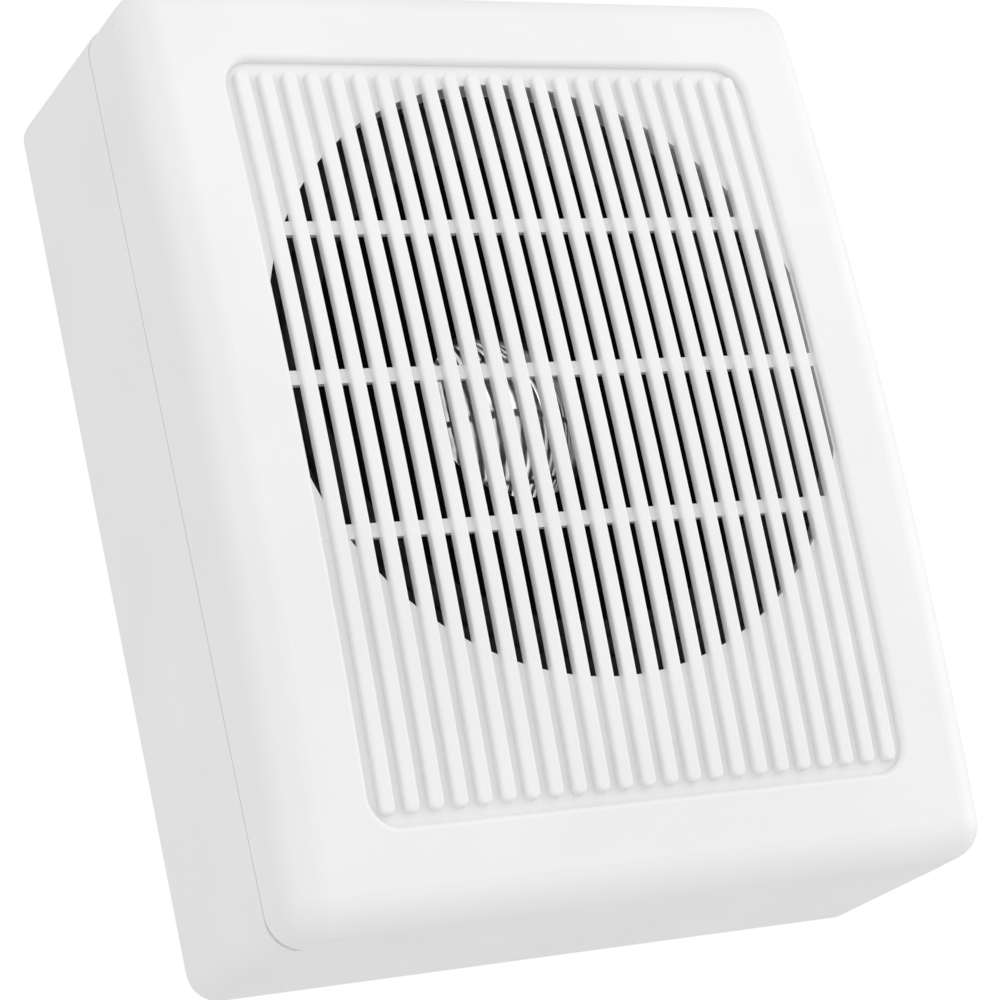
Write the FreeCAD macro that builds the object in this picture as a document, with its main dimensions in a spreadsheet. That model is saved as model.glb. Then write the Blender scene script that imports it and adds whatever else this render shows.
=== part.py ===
import FreeCAD, Part
import math
import os
import re
import Sketcher

# Indoor alarm siren: a moulded case in two halves with a ribbed grille, holding a cone loudspeaker, its
# driver board and a tamper switch. +X is to the right, +Z is up and +Y goes back to the wall. The origin
# is the middle of the case's rear face, which is also the centre of the four wall fixings. "Forward" is
# -Y throughout.

SIZES = {
    # Case
    "case_width": 108.0,
    "case_height": 131.0,
    "case_depth": 43.0,          # wall to the foremost line of the crowned face
    "cover_depth": 15.0,         # foremost line of the face to the seam
    "wall": 2.2,
    "cover_overhang": 0.1,       # how far the cover's edge stands proud of the rear box
    "crown_radius": 650.0,       # the face is part of a wide cylinder lying across the case
    "crown_height": 22.0,        # height of the foremost line above the case's middle
    "cover_corner": 5.0,
    "box_corner": 4.2,
    "rear_edge": 0.6,
    "seam_gap": 0.4,             # shadow line round the box where the cover meets it
    "seam_step": 0.9,
    # Ribbed recess and round grille
    "face_border": 12.0,         # least plain face kept on each side of the recess
    "rib_pitch": 3.55,
    "rib_width": 2.05,
    "rib_depth": 1.2,
    "rib_end_gap": 1.7,
    "rib_end_round": 0.9,
    "rib_edge_round": 0.4,
    "rib_sink": 0.2,             # ribs and bars run this far into the recess floor
    "side_gap": 1.5,             # outermost rib to the recess wall
    "floor_skin": 0.9,
    "recess_height": 106.8,
    "recess_corner": 4.4,
    "recess_rim": 0.8,
    "grille_inset": 2.0,         # round opening inside the loudspeaker's flange
    "grille_ledge": 0.25,        # recess floor left between the round opening and the recess wall
    "speaker_height": 7.0,       # grille and loudspeaker axis above the case's middle
    "bar_spacing": 21.4,
    "bar_width": 2.0,
    # Cover hooks and tongues
    "hook_spacing": 50.0,
    "hook_width": 8.0,
    "tongue_reach": 4.3,
    "tongue_thick": 1.2,
    "tip_length": 1.5,
    "tip_rise": 1.0,
    "slide_gap": 0.3,            # clearance between the case halves where they pass each other
    # Loudspeaker
    "seat_depth": 6.0,           # foremost line of the face to the moulded ring that the gasket meets
    "seat_wall": 1.8,
    "gasket_gap": 0.2,
    "gasket_thick": 1.2,
    "flange_radius": 45.5,
    "flange_width": 5.5,
    "sheet_steel": 0.8,
    "basket_depth": 16.5,
    "basket_floor_radius": 24.0,
    "window_inset": 4.0,         # from the flange's inner edge
    "window_foot": 3.0,          # from the basket's floor
    "window_angle": 38.0,
    "lug_reach": 4.1,            # screw circle outside the flange
    "lug_radius": 4.2,
    "surround_thick": 0.4,
    "roll_width": 3.4,
    "roll_radius": 1.9,
    "cone_thick": 0.5,
    "cone_curve": 90.0,
    "coil_radius": 12.7,
    "former_thick": 0.3,
    "winding_thick": 0.35,
    "winding_length": 4.6,
    "winding_start": 15.9,
    "neck_depth": 9.6,
    "cap_radius": 13.1,
    "cap_rise": 4.2,
    "cap_thick": 0.3,
    "glue_line": 0.05,
    "coil_clearance": 0.45,
    "plate_radius": 24.0,
    "plate_thick": 3.0,
    "magnet_radius": 25.0,
    "magnet_hole": 15.5,
    "magnet_thick": 8.0,
    "back_plate_thick": 3.0,
    "pole_vent": 3.0,
    # Pillars and screws
    "pillar_radius": 4.0,
    "thread_radius": 1.4,
    "thread_gap": 0.05,
    "head_radius": 3.2,
    "head_height": 1.8,
    "screw_length": 9.0,
    "lug_hole": 1.8,
    # Driver board
    "board_width": 78.0,
    "board_height": 27.0,
    "board_thick": 1.6,
    "board_standoff": 5.8,
    "board_top": -33.0,
    "board_edge": 3.5,
    "standoff_radius": 3.0,
    "board_screw_length": 5.0,
    "board_head_radius": 2.7,
    "board_head_height": 1.6,
    # Speaker tags, leads and their plug
    "tag_across": 4.0,           # each tag's distance from the middle
    "tag_width": 3.0,
    "tag_length": 6.0,
    "tag_thick": 0.5,
    "strip_width": 16.0,
    "strip_height": 5.6,
    "strip_thick": 1.6,
    "strip_lap": 0.4,            # the strip's top edge above the flange's inner edge
    "tag_lift": 1.6,             # tag above the strip's lower edge
    "lead_radius": 0.7,
    "lead_bend": 0.8,
    "lead_reach": 9.0,           # how far the leads run back before they turn down
    "plug_width": 7.0,
    "plug_tall": 6.0,
    "plug_height": 8.0,
    "plug_pitch": 2.5,
    "plug_drop": 4.0,            # middle of the plug below the board's top edge
    # Parts on the board, from its lower left corner; "height" is how far each stands forward of the board
    "terminal_left": 8.0,
    "terminal_low": 1.5,
    "terminal_pitch": 5.0,
    "terminal_tall": 8.4,
    "terminal_height": 9.6,
    "entry_width": 3.4,
    "entry_height": 5.2,
    "well_up": 4.6,
    "well_radius": 1.9,
    "well_floor": 7.0,
    "sink_left": 50.0,
    "sink_low": 21.5,
    "sink_width": 20.0,
    "sink_height": 15.0,
    "sink_plate": 1.6,
    "fin_tall": 2.8,
    "fin_thick": 1.2,
    "transistor_width": 9.6,
    "transistor_tall": 9.2,
    "transistor_thick": 2.85,
    "transistor_lift": 3.0,      # length of leg below the case
    "transistor_gap": 0.05,      # insulating pad between the tab and the heat sink
    "tab_thick": 1.2,
    "tab_top": 13.5,
    "leg_pitch": 2.54,
    "leg_width": 0.8,
    "leg_thick": 0.5,
    "can_left": 35.0,
    "can_spacing": 10.5,
    "can_up": 6.5,
    "can_radius": 4.6,
    "can_height": 11.5,
    "chip_left": 13.0,
    "chip_low": 12.0,
    "chip_width": 9.6,
    "chip_tall": 6.4,
    "chip_height": 4.0,
    "pin_width": 0.5,
    "pin_tall": 0.8,
    "pin_gap": 0.05,
    "pin_height": 2.4,
    "resistor_left": 26.5,
    "resistor_low": 13.5,
    "resistor_spacing": 3.1,
    "resistor_radius": 1.2,
    "resistor_length": 6.0,
    "part_lift": 0.1,            # glue or lead gap under a part that lies on the board
    "choke_left": 57.5,
    "choke_up": 8.0,
    "choke_radius": 6.0,
    "choke_neck": 2.6,
    "choke_height": 9.0,
    "choke_rim": 1.6,
    "choke_fill": 5.4,           # outer radius of the choke's winding
    "header_left": 41.0,
    "header_low": 12.6,
    "header_width": 7.6,
    "header_tall": 2.5,
    "header_height": 2.5,
    "post_width": 0.64,
    "post_height": 8.5,
    "link_width": 5.0,
    "link_height": 8.6,
    "link_gap": 0.1,             # clearance round each header pin, and under the link
    # Wall fixings and cable entry
    "fixing_width": 90.0,
    "fixing_height": 112.0,
    "fixing_radius": 2.3,
    "cable_across": -38.0,
    "cable_up": -8.0,
    "cable_radius": 3.5,
    "cable_hole": 6.0,
    "grommet_flange": 8.0,
    "grommet_lip": 2.0,
    # Tamper switch
    "tamper_across": 32.5,
    "tamper_up": -47.5,
    "tamper_width": 10.0,
    "tamper_height": 8.0,
    "tamper_depth": 7.0,
    "plunger_radius": 1.2,
    "plunger_head": 2.8,
    "plunger_cap": 1.2,
    "plunger_reach": 7.0,        # body's front to the pressed plunger's cap
    "plunger_grip": 5.5,
    "plunger_fit": 0.08,
    "spring_wire": 0.25,
    "spring_radius": 2.0,
    "spring_gap": 0.05,          # at each end of the spring
    "post_radius": 2.6,
    "post_gap": 0.1,
}

doc = FreeCAD.newDocument("AlarmSiren")
sheet = doc.addObject("Spreadsheet::Sheet", "Sizes")
for row, (alias, size) in enumerate(SIZES.items(), start=1):
    sheet.set("A%d" % row, alias)
    sheet.set("B%d" % row, str(size))
    sheet.setAlias("B%d" % row, alias)
doc.recompute()

ALIASES = re.compile(r"\b(%s)\b" % "|".join(SIZES))
PIECES = []


# Expressions: plain text that names the sheet's aliases.

def linked(text):
    return ALIASES.sub(r"Sizes.\1", text)


def bind(item, target, text):
    item.setExpression(target, linked(text))


def number(text):
    return float(sheet.evalExpression(linked(text)))


# Sketches. An XZ sketch lies at the depth y_place and pads forward; a YZ sketch is a section of the case,
# whose first coordinate is Y, and pads across; an XY sketch is a half section of a turned piece, X being
# its radius.

def new_body(label):
    body = doc.addObject("PartDesign::Body", label)
    PIECES.append(body)
    return body


def new_sketch(body, name, role, offset):
    sketch = body.newObject("Sketcher::SketchObject", name)
    plane = [item for item in body.Origin.OriginFeatures if item.Role == role][0]
    sketch.AttachmentSupport = [(plane, "")]
    sketch.MapMode = "FlatFace"
    bind(sketch, "AttachmentOffset.Base.z", offset)
    return sketch


def front_sketch(body, name, y_place):
    return new_sketch(body, name, "XZ_Plane", "-(%s)" % y_place)


def section_sketch(body, name, x_place="0"):
    return new_sketch(body, name, "YZ_Plane", x_place)


def fix(sketch, kind, geometry, point, text):
    if point:
        constraint = Sketcher.Constraint(kind, geometry, point, number(text))
    else:
        constraint = Sketcher.Constraint(kind, geometry, number(text))
    bind(sketch, "Constraints[%d]" % sketch.addConstraint(constraint), text)


def arc_between(start, end, radius):
    # A plus radius keeps the centre on the left of the way from start to end, a minus radius on the right.
    chord = end - start
    left = FreeCAD.Vector(-chord.y, chord.x, 0).normalize()
    rise = abs(radius) - math.sqrt(radius ** 2 - (chord.Length / 2) ** 2)
    middle = start + chord / 2 - left * math.copysign(rise, radius)
    # A sketch's arc always runs anticlockwise.
    return Part.Arc(start, middle, end) if radius > 0 else Part.Arc(end, middle, start)


def outline(sketch, corners):
    # Each corner is (first, second) or (first, second, radius): with a radius, the side that starts there
    # is an arc.
    points = [FreeCAD.Vector(number(corner[0]), number(corner[1]), 0) for corner in corners]
    ends = []
    for index, corner in enumerate(corners):
        start = points[index]
        end = points[(index + 1) % len(points)]
        if len(corner) == 3:
            side = sketch.addGeometry(arc_between(start, end, number(corner[2])))
        else:
            side = sketch.addGeometry(Part.LineSegment(start, end))
        line = sketch.Geometry[side]
        along = (line.StartPoint - start).Length < (line.EndPoint - start).Length
        ends.append((side, 1, 2) if along else (side, 2, 1))
    for index, corner in enumerate(corners):
        side, first, last = ends[index]
        after, after_first, after_last = ends[(index + 1) % len(ends)]
        sketch.addConstraint(Sketcher.Constraint("Coincident", side, last, after, after_first))
        fix(sketch, "DistanceX", side, first, corner[0])
        fix(sketch, "DistanceY", side, first, corner[1])
        if len(corner) == 3:
            fix(sketch, "Radius", side, None, "abs(%s)" % corner[2])


def circle(sketch, across, up, radius):
    centre = FreeCAD.Vector(number(across), number(up), 0)
    ring = sketch.addGeometry(Part.Circle(centre, FreeCAD.Vector(0, 0, 1), number(radius)))
    fix(sketch, "DistanceX", ring, 3, across)
    fix(sketch, "DistanceY", ring, 3, up)
    fix(sketch, "Radius", ring, None, radius)


def rectangle(sketch, left, low, right, high):
    outline(sketch, [(left, low), (right, low), (right, high), (left, high)])


def rounded_rectangle(sketch, across, up, radius):
    # Centred on the origin, with half sizes across and up.
    outline(sketch, [
        ("(%s) - (%s)" % (across, radius), "-(%s)" % up, radius),
        (across, "-((%s) - (%s))" % (up, radius)),
        (across, "(%s) - (%s)" % (up, radius), radius),
        ("(%s) - (%s)" % (across, radius), up),
        ("-((%s) - (%s))" % (across, radius), up, radius),
        ("-(%s)" % across, "(%s) - (%s)" % (up, radius)),
        ("-(%s)" % across, "-((%s) - (%s))" % (up, radius), radius),
        ("-((%s) - (%s))" % (across, radius), "-(%s)" % up),
    ])


# Features

def pad(body, sketch, length, symmetric=False):
    doc.recompute()
    before = body.Shape.Volume if body.Tip else 0
    feature = body.newObject("PartDesign::Pad", sketch.Name + "Pad")
    feature.Profile = sketch
    feature.SideType = "Symmetric" if symmetric else "One side"
    bind(feature, "Length", length)
    doc.recompute()
    if not body.Shape.Volume > before:
        raise RuntimeError("%s adds nothing" % feature.Name)
    return feature


def pocket(body, sketch, length, symmetric=False, forward=False):
    doc.recompute()
    before = body.Shape.Volume
    feature = body.newObject("PartDesign::Pocket", sketch.Name + "Pocket")
    feature.Profile = sketch
    feature.SideType = "Symmetric" if symmetric else "One side"
    feature.Reversed = forward
    bind(feature, "Length", length)
    doc.recompute()
    if not body.Shape.Volume < before:
        raise RuntimeError("%s cuts nothing" % feature.Name)
    return feature


def revolve(body, sketch):
    feature = body.newObject("PartDesign::Revolution", sketch.Name + "Turn")
    feature.Profile = sketch
    feature.ReferenceAxis = (sketch, ["V_Axis"])
    feature.Angle = 360
    return feature


def repeat(body, feature, role, count, spacing):
    pattern = body.newObject("PartDesign::LinearPattern", feature.Name + "Row")
    pattern.Originals = [feature]
    pattern.Direction = ([item for item in body.Origin.OriginFeatures if item.Role == role][0], [""])
    pattern.Mode = "Spacing"
    bind(pattern, "Offset", spacing)
    bind(pattern, "Occurrences", count)
    body.Tip = pattern
    return pattern


def round_edges(body, name, radius, chosen):
    doc.recompute()
    base = body.Tip
    edges = ["Edge%d" % (index + 1) for index, edge in enumerate(base.Shape.Edges) if chosen(edge)]
    feature = body.newObject("PartDesign::Fillet", name)
    feature.Base = (base, edges)
    bind(feature, "Radius", radius)
    return feature


def runs_forward(edge):
    start = edge.Vertexes[0].Point
    end = edge.Vertexes[-1].Point
    return math.hypot(start.x - end.x, start.z - end.z) < 1e-4 < abs(start.y - end.y)


def middle_of(edge):
    return edge.valueAt((edge.FirstParameter + edge.LastParameter) / 2)


# Primitive pieces

def cylinder(name, radius, length, across, depth, up):
    # Starts at the given depth and runs forward.
    item = doc.addObject("Part::Cylinder", name)
    item.Placement = FreeCAD.Placement(FreeCAD.Vector(), FreeCAD.Rotation(FreeCAD.Vector(1, 0, 0), 90))
    bind(item, "Radius", radius)
    bind(item, "Height", length)
    bind(item, "Placement.Base.x", across)
    bind(item, "Placement.Base.y", depth)
    bind(item, "Placement.Base.z", up)
    return item


def box(name, left, front, low, width, depth, height):
    item = doc.addObject("Part::Box", name)
    bind(item, "Length", width)
    bind(item, "Width", depth)
    bind(item, "Height", height)
    bind(item, "Placement.Base.x", left)
    bind(item, "Placement.Base.y", front)
    bind(item, "Placement.Base.z", low)
    return item


def fused(name, *shapes):
    item = doc.addObject("Part::MultiFuse", name)
    item.Shapes = list(shapes)
    return item


def cut(name, base, tool):
    item = doc.addObject("Part::Cut", name)
    item.Base = base
    item.Tool = tool
    return item


def group(name, items):
    item = doc.addObject("Part::Compound", name)
    item.Links = list(items)
    PIECES.append(item)
    return item


def keep(item):
    PIECES.append(item)
    return item


def corner_signs():
    return [(across, up) for up in ("", "-") for across in ("-", "")]


def slotted_screw(name, across, up, seat, head, head_height, shank, length):
    # The head stands forward of its seat, and the shank runs back from it.
    head_part = cylinder(name + "Head", head, head_height, across, seat, up)
    shank_part = cylinder(name + "Shank", shank, length, across, "(%s) + (%s)" % (seat, length), up)
    slot_width = "(%s) * 0.28" % head
    slot_depth = "(%s) * 0.5" % head_height
    slot = box(name + "Slot", "(%s) - (%s)" % (across, head), "(%s) - (%s)" % (seat, head_height),
               "(%s) - (%s) / 2" % (up, slot_width), "2 * (%s)" % head, slot_depth, slot_width)
    return cut(name, fused(name + "Blank", head_part, shank_part), slot)


# Places shared by several pieces

SEAM = "(cover_depth - case_depth)"
BOX_ACROSS = "(case_width / 2 - cover_overhang)"
BOX_UP = "(case_height / 2 - cover_overhang)"
FACE_SKIN = "(rib_depth + floor_skin)"
RIBS_EACH_SIDE = "floor((case_width / 2 - face_border - side_gap - rib_width / 2) / rib_pitch)"
RIB_REACH = "(%s * rib_pitch + rib_width / 2)" % RIBS_EACH_SIDE
RECESS_ACROSS = "(%s + side_gap)" % RIB_REACH
RECESS_UP = "(recess_height / 2)"
GRILLE_ACROSS = "(%s - grille_ledge)" % RECESS_ACROSS
SEAT = "(seat_depth - case_depth)"
FLANGE = "(seat_depth - case_depth + gasket_gap + gasket_thick)"
FLANGE_BACK = "(%s + sheet_steel)" % FLANGE
LUG = "((flange_radius + lug_reach) / sqrt(2))"
FLANGE_HOLE = "(flange_radius - flange_width)"
GRILLE_RADIUS = "(flange_radius - grille_inset)"
BOARD_BACK = "(-wall - board_standoff)"
BOARD_FRONT = "(-wall - board_standoff - board_thick)"
BOARD_MIDDLE = "(board_top - board_height / 2)"
BOARD_SCREW_ACROSS = "(board_width / 2 - board_edge)"
TAMPER_FRONT = "(%s - tamper_depth)" % BOARD_FRONT
PLUNGER_FRONT = "(%s - plunger_reach - plunger_cap)" % TAMPER_FRONT
STRIP_LOW = "(speaker_height - %s + strip_lap - strip_height)" % FLANGE_HOLE
PLUG_MIDDLE = "(board_top - plug_drop)"
TOUCH = 0.05                     # a soldered or plugged end stops this far off what it meets
TERMINAL_WAYS = 4
CHIP_PINS = 4                    # on each side of the chip
RESISTORS = 5
FINS = 5


def crown(up, below):
    # Depth of the crowned face at a height, or of the surface that lies a given depth below it.
    reach = "(crown_radius - (%s))" % below
    return "(crown_radius - case_depth - sqrt(%s ^ 2 - ((%s) - crown_height) ^ 2))" % (reach, up)


def crown_band(sketch, low, high, front, back, front_is_open=False):
    # A section between two surfaces that follow the crown, or from one of them out past the front.
    far = "(-case_depth - 2)"
    corners = [(crown(low, back), low, "(%s) - crown_radius" % back), (crown(high, back), high)]
    if front_is_open:
        corners += [(far, high), (far, low)]
    else:
        corners += [(crown(high, front), high, "crown_radius - (%s)" % front), (crown(low, front), low)]
    outline(sketch, corners)


# Case

def front_cover():
    body = new_body("front_cover")
    half_up = "(case_height / 2)"
    shell = front_sketch(body, "CoverOutline", SEAM)
    rectangle(shell, "-case_width / 2", "-case_height / 2", "case_width / 2", "case_height / 2")
    pad(body, shell, "cover_depth")

    cavity = section_sketch(body, "CoverCavity")
    inside = "(%s - wall)" % half_up
    outline(cavity, [
        (SEAM, inside), (crown(inside, FACE_SKIN), inside, "crown_radius - %s" % FACE_SKIN),
        (crown("-%s" % inside, FACE_SKIN), "-%s" % inside), (SEAM, "-%s" % inside),
    ])
    pocket(body, cavity, "case_width - 2 * wall", symmetric=True)

    seat = front_sketch(body, "SpeakerSeat", SEAT)
    circle(seat, "0", "speaker_height", "flange_radius")
    circle(seat, "0", "speaker_height", "flange_radius - seat_wall")
    pad(body, seat, "seat_depth")
    post = front_sketch(body, "TamperPost", "%s - post_gap" % PLUNGER_FRONT)
    circle(post, "tamper_across", "tamper_up", "post_radius")
    pad(body, post, "case_depth + %s - post_gap" % PLUNGER_FRONT)
    for side, name in (("-", "Left"), ("", "Right")):
        cover_hook(body, name, side)
        cover_tongue(body, name, side)

    face = section_sketch(body, "CrownedFace")
    crown_band(face, "-%s - 2" % half_up, "%s + 2" % half_up, "0", "0", front_is_open=True)
    pocket(body, face, "case_width + 4", symmetric=True)
    recess = section_sketch(body, "Recess")
    crown_band(recess, "-%s" % RECESS_UP, RECESS_UP, "0", "rib_depth", front_is_open=True)
    pocket(body, recess, "2 * %s" % RECESS_ACROSS, symmetric=True)
    round_cover(body)

    grille_opening(body)
    grille_bars(body)
    grille_ribs(body)
    return body


def cover_hook(body, name, side):
    under = "(%s - wall - slide_gap)" % BOX_UP
    low = "(%s - tongue_thick)" % under
    buried = "(case_height / 2 - wall + rib_sink)"
    root = "(%s - slide_gap)" % SEAM
    end = "(%s + tongue_reach)" % SEAM
    hook = section_sketch(body, "Hook" + name, "%s hook_spacing / 2" % side)
    outline(hook, [
        ("%s - 6" % SEAM, low), (end, low), (end, "%s + slide_gap + tip_rise" % under),
        ("%s - tip_length" % end, "%s + slide_gap + tip_rise" % under), ("%s - tip_length" % end, under),
        (root, under), (root, buried), ("%s - 6" % SEAM, buried),
    ])
    pad(body, hook, "hook_width", symmetric=True)


def cover_tongue(body, name, side):
    under = "(%s - wall - slide_gap)" % BOX_UP
    low = "(%s - tongue_thick)" % under
    buried = "(case_height / 2 - wall + rib_sink)"
    root = "(%s - slide_gap)" % SEAM
    tongue = section_sketch(body, "Tongue" + name, "%s hook_spacing / 2" % side)
    outline(tongue, [
        ("%s - 6" % SEAM, "-%s" % low), ("%s + tongue_reach" % SEAM, "-%s" % low),
        ("%s + tongue_reach" % SEAM, "-%s" % under), (root, "-%s" % under),
        (root, "-%s" % buried), ("%s - 6" % SEAM, "-%s" % buried),
    ])
    pad(body, tongue, "hook_width", symmetric=True)


def round_cover(body):
    half_across = number("case_width / 2")
    half_up = number("case_height / 2")
    recess_across = number(RECESS_ACROSS)
    recess_up = number(RECESS_UP)
    seam = number(SEAM)

    def outer(edge):
        middle = middle_of(edge)
        on_side = abs(abs(middle.x) - half_across) < 0.01 or abs(abs(middle.z) - half_up) < 0.01
        return on_side and middle.y < seam - 0.01

    def recess_corner(edge):
        middle = middle_of(edge)
        at_corner = abs(abs(middle.x) - recess_across) < 0.01 and abs(abs(middle.z) - recess_up) < 0.01
        return runs_forward(edge) and at_corner

    def recess_rim(edge):
        middle = middle_of(edge)
        inside = abs(middle.x) < recess_across + 0.01 and abs(middle.z) < recess_up + 0.01
        return inside and abs(middle.y - number(crown(str(middle.z), "0"))) < 0.01

    round_edges(body, "CoverEdges", "cover_corner", outer)
    round_edges(body, "RecessCorners", "recess_corner", recess_corner)
    round_edges(body, "RecessRim", "recess_rim", recess_rim)


def grille_opening(body):
    # A circle with flat sides, where it would be wider than the recess.
    opening = front_sketch(body, "GrilleOpening", SEAM)
    if number(GRILLE_RADIUS) > number(GRILLE_ACROSS):
        rise = "sqrt(%s ^ 2 - %s ^ 2)" % (GRILLE_RADIUS, GRILLE_ACROSS)
        high = "(speaker_height + %s)" % rise
        low = "(speaker_height - %s)" % rise
        outline(opening, [
            (GRILLE_ACROSS, high, GRILLE_RADIUS), ("-%s" % GRILLE_ACROSS, high),
            ("-%s" % GRILLE_ACROSS, low, GRILLE_RADIUS), (GRILLE_ACROSS, low),
        ])
    else:
        circle(opening, "0", "speaker_height", GRILLE_RADIUS)
    pocket(body, opening, "cover_depth", forward=True)


def grille_bars(body):
    for index in (-1, 0, 1):
        middle = "(speaker_height + %d * bar_spacing)" % index
        bar = section_sketch(body, "Bar%d" % (index + 2))
        rectangle(bar, crown(middle, "rib_depth"), "%s - bar_width / 2" % middle,
                  crown(middle, FACE_SKIN), "%s + bar_width / 2" % middle)
        pad(body, bar, "2 * (%s + rib_sink)" % RECESS_ACROSS, symmetric=True)


def grille_ribs(body):
    end = "(%s - rib_end_gap)" % RECESS_UP
    rib = section_sketch(body, "Rib", "-%s * rib_pitch" % RIBS_EACH_SIDE)
    crown_band(rib, "-%s" % end, end, "0", "rib_depth + rib_sink")
    rib_count = "2 * %s + 1" % RIBS_EACH_SIDE
    repeat(body, pad(body, rib, "rib_width", symmetric=True), "X_Axis", rib_count, "rib_pitch")
    rib_end = number(end)
    rib_reach = number(RIB_REACH)

    def rib_corner(edge):
        middle = middle_of(edge)
        at_an_end = abs(abs(middle.z) - rib_end) < 0.01 and abs(middle.x) < rib_reach + 0.01
        return runs_forward(edge) and at_an_end

    def rib_top(edge):
        middle = middle_of(edge)
        on_rib = abs(middle.x) < rib_reach + 0.01 and abs(middle.z) < rib_end + 0.01
        return on_rib and abs(middle.y - number(crown(str(middle.z), "0"))) < 0.01

    round_edges(body, "RibEnds", "rib_end_round", rib_corner)
    round_edges(body, "RibTops", "rib_edge_round", rib_top)


def rear_box():
    body = new_body("rear_box")
    shell = front_sketch(body, "BoxOutline", "0")
    rounded_rectangle(shell, BOX_ACROSS, BOX_UP, "box_corner")
    pad(body, shell, "-%s" % SEAM)
    line = front_sketch(body, "ShadowLine", SEAM)
    rounded_rectangle(line, "%s + seam_step" % BOX_ACROSS, "%s + seam_step" % BOX_UP,
                      "box_corner + seam_step")
    rounded_rectangle(line, "%s - seam_step" % BOX_ACROSS, "%s - seam_step" % BOX_UP,
                      "box_corner - seam_step")
    pocket(body, line, "seam_gap")

    def rear_rim(edge):
        return all(abs(vertex.Point.y) < 0.001 for vertex in edge.Vertexes)

    round_edges(body, "RearEdge", "rear_edge", rear_rim)
    cavity = front_sketch(body, "BoxCavity", SEAM)
    rounded_rectangle(cavity, "%s - wall" % BOX_ACROSS, "%s - wall" % BOX_UP, "box_corner - wall")
    pocket(body, cavity, "-%s - wall" % SEAM)

    pillars = front_sketch(body, "SpeakerPillars", "-wall / 2")
    standoffs = front_sketch(body, "BoardStandoffs", "-wall / 2")
    pillar_holes = front_sketch(body, "PillarHoles", FLANGE_BACK)
    standoff_holes = front_sketch(body, "StandoffHoles", BOARD_BACK)
    fixings = front_sketch(body, "WallFixings", "0")
    for across, up in corner_signs():
        lug = ("%s %s" % (across, LUG), "speaker_height + (%s %s)" % (up, LUG))
        circle(pillars, *lug, "pillar_radius")
        circle(pillar_holes, *lug, "thread_radius")
        foot = ("%s %s" % (across, BOARD_SCREW_ACROSS),
                "%s + (%s (board_height / 2 - board_edge))" % (BOARD_MIDDLE, up))
        circle(standoffs, *foot, "standoff_radius")
        circle(standoff_holes, *foot, "thread_radius")
        circle(fixings, "%s fixing_width / 2" % across, "%s fixing_height / 2" % up, "fixing_radius")
    pad(body, pillars, "-%s - wall / 2" % FLANGE_BACK)
    pad(body, standoffs, "board_standoff + wall / 2")
    pocket(body, pillar_holes, "screw_length + 1")
    pocket(body, standoff_holes, "board_screw_length + 0.4")
    pocket(body, fixings, "wall + 1", forward=True)
    cable = front_sketch(body, "CableHole", "0")
    circle(cable, "cable_across", "cable_up", "cable_hole")
    pocket(body, cable, "wall + 1", forward=True)
    hook_windows(body)
    return body


def hook_windows(body):
    # Blind notches in the underside of the top wall, which the hooks' tips turn up into.
    window = new_sketch(body, "HookWindows", "XY_Plane", "%s - wall" % BOX_UP)
    front = "(%s + tongue_reach - tip_length - 2 * slide_gap - tip_rise / 2)" % SEAM
    back = "(%s + tongue_reach + slide_gap)" % SEAM
    reach = "(hook_width / 2 + slide_gap)"
    for side in ("-", ""):
        middle = "(%s hook_spacing / 2)" % side
        rectangle(window, "%s - %s" % (middle, reach), front, "%s + %s" % (middle, reach), back)
    pocket(body, window, "tip_rise + slide_gap", forward=True)


def cable_grommet():
    body = turned("cable_grommet", [
        ("cable_radius", "0"), ("cable_hole - glue_line", "0"), ("cable_hole - glue_line", "-wall"),
        ("grommet_flange", "-wall"), ("grommet_flange", "-wall - grommet_lip"),
        ("cable_radius", "-wall - grommet_lip"),
    ], "cable_up")
    bind(body, "Placement.Base.x", "cable_across")


# Loudspeaker: every piece but the tags is turned about the grille's axis. Depths count back from the
# flange's front.

def turned(label, corners, up="speaker_height"):
    body = new_body(label)
    sketch = new_sketch(body, label.title().replace("_", "") + "Section", "XY_Plane", "0")
    outline(sketch, corners)
    revolve(body, sketch)
    bind(body, "Placement.Base.z", up)
    return body


def at(depth):
    return "(%s + (%s))" % (FLANGE, depth)


def speaker_basket():
    step = "(%s - 2)" % FLANGE_HOLE
    outer = "(%s + sheet_steel)" % step
    body = turned("speaker_basket", [
        ("flange_radius", at("0")), ("flange_radius", at("sheet_steel")), (outer, at("sheet_steel")),
        (outer, at("3.2")), ("basket_floor_radius + 0.5", at("basket_depth")),
        ("coil_radius + 1.8", at("basket_depth")), ("coil_radius + 1.8", at("basket_depth - sheet_steel")),
        ("basket_floor_radius", at("basket_depth - sheet_steel")), (step, at("2.6")), (step, at("0")),
    ])
    lugs = front_sketch(body, "Lugs", FLANGE_BACK)
    holes = front_sketch(body, "LugHoles", FLANGE)
    for across, up in corner_signs():
        circle(lugs, "%s %s" % (across, LUG), "%s %s" % (up, LUG), "lug_radius")
        circle(holes, "%s %s" % (across, LUG), "%s %s" % (up, LUG), "lug_hole")
    pad(body, lugs, "sheet_steel")
    pocket(body, holes, "sheet_steel")
    for index in range(4):
        basket_window(body, index)


def basket_window(body, index):
    # A sector of the basket's cone, open front to back.
    name = "Window%d" % (index + 1)
    window = front_sketch(body, name, FLANGE)
    inner = "(basket_floor_radius + window_foot)"
    outer = "(%s - window_inset)" % FLANGE_HOLE
    angles = ["%d - window_angle" % (90 * index), "%d + window_angle" % (90 * index)]

    def corner(radius, angle):
        return ("%s * cos((%s) * 1deg)" % (radius, angle), "%s * sin((%s) * 1deg)" % (radius, angle))

    outline(window, [
        corner(outer, angles[0]) + (outer,), corner(outer, angles[1]),
        corner(inner, angles[1]) + ("-" + inner,), corner(inner, angles[0]),
    ])
    pocket(body, window, "basket_depth + 1")


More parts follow.
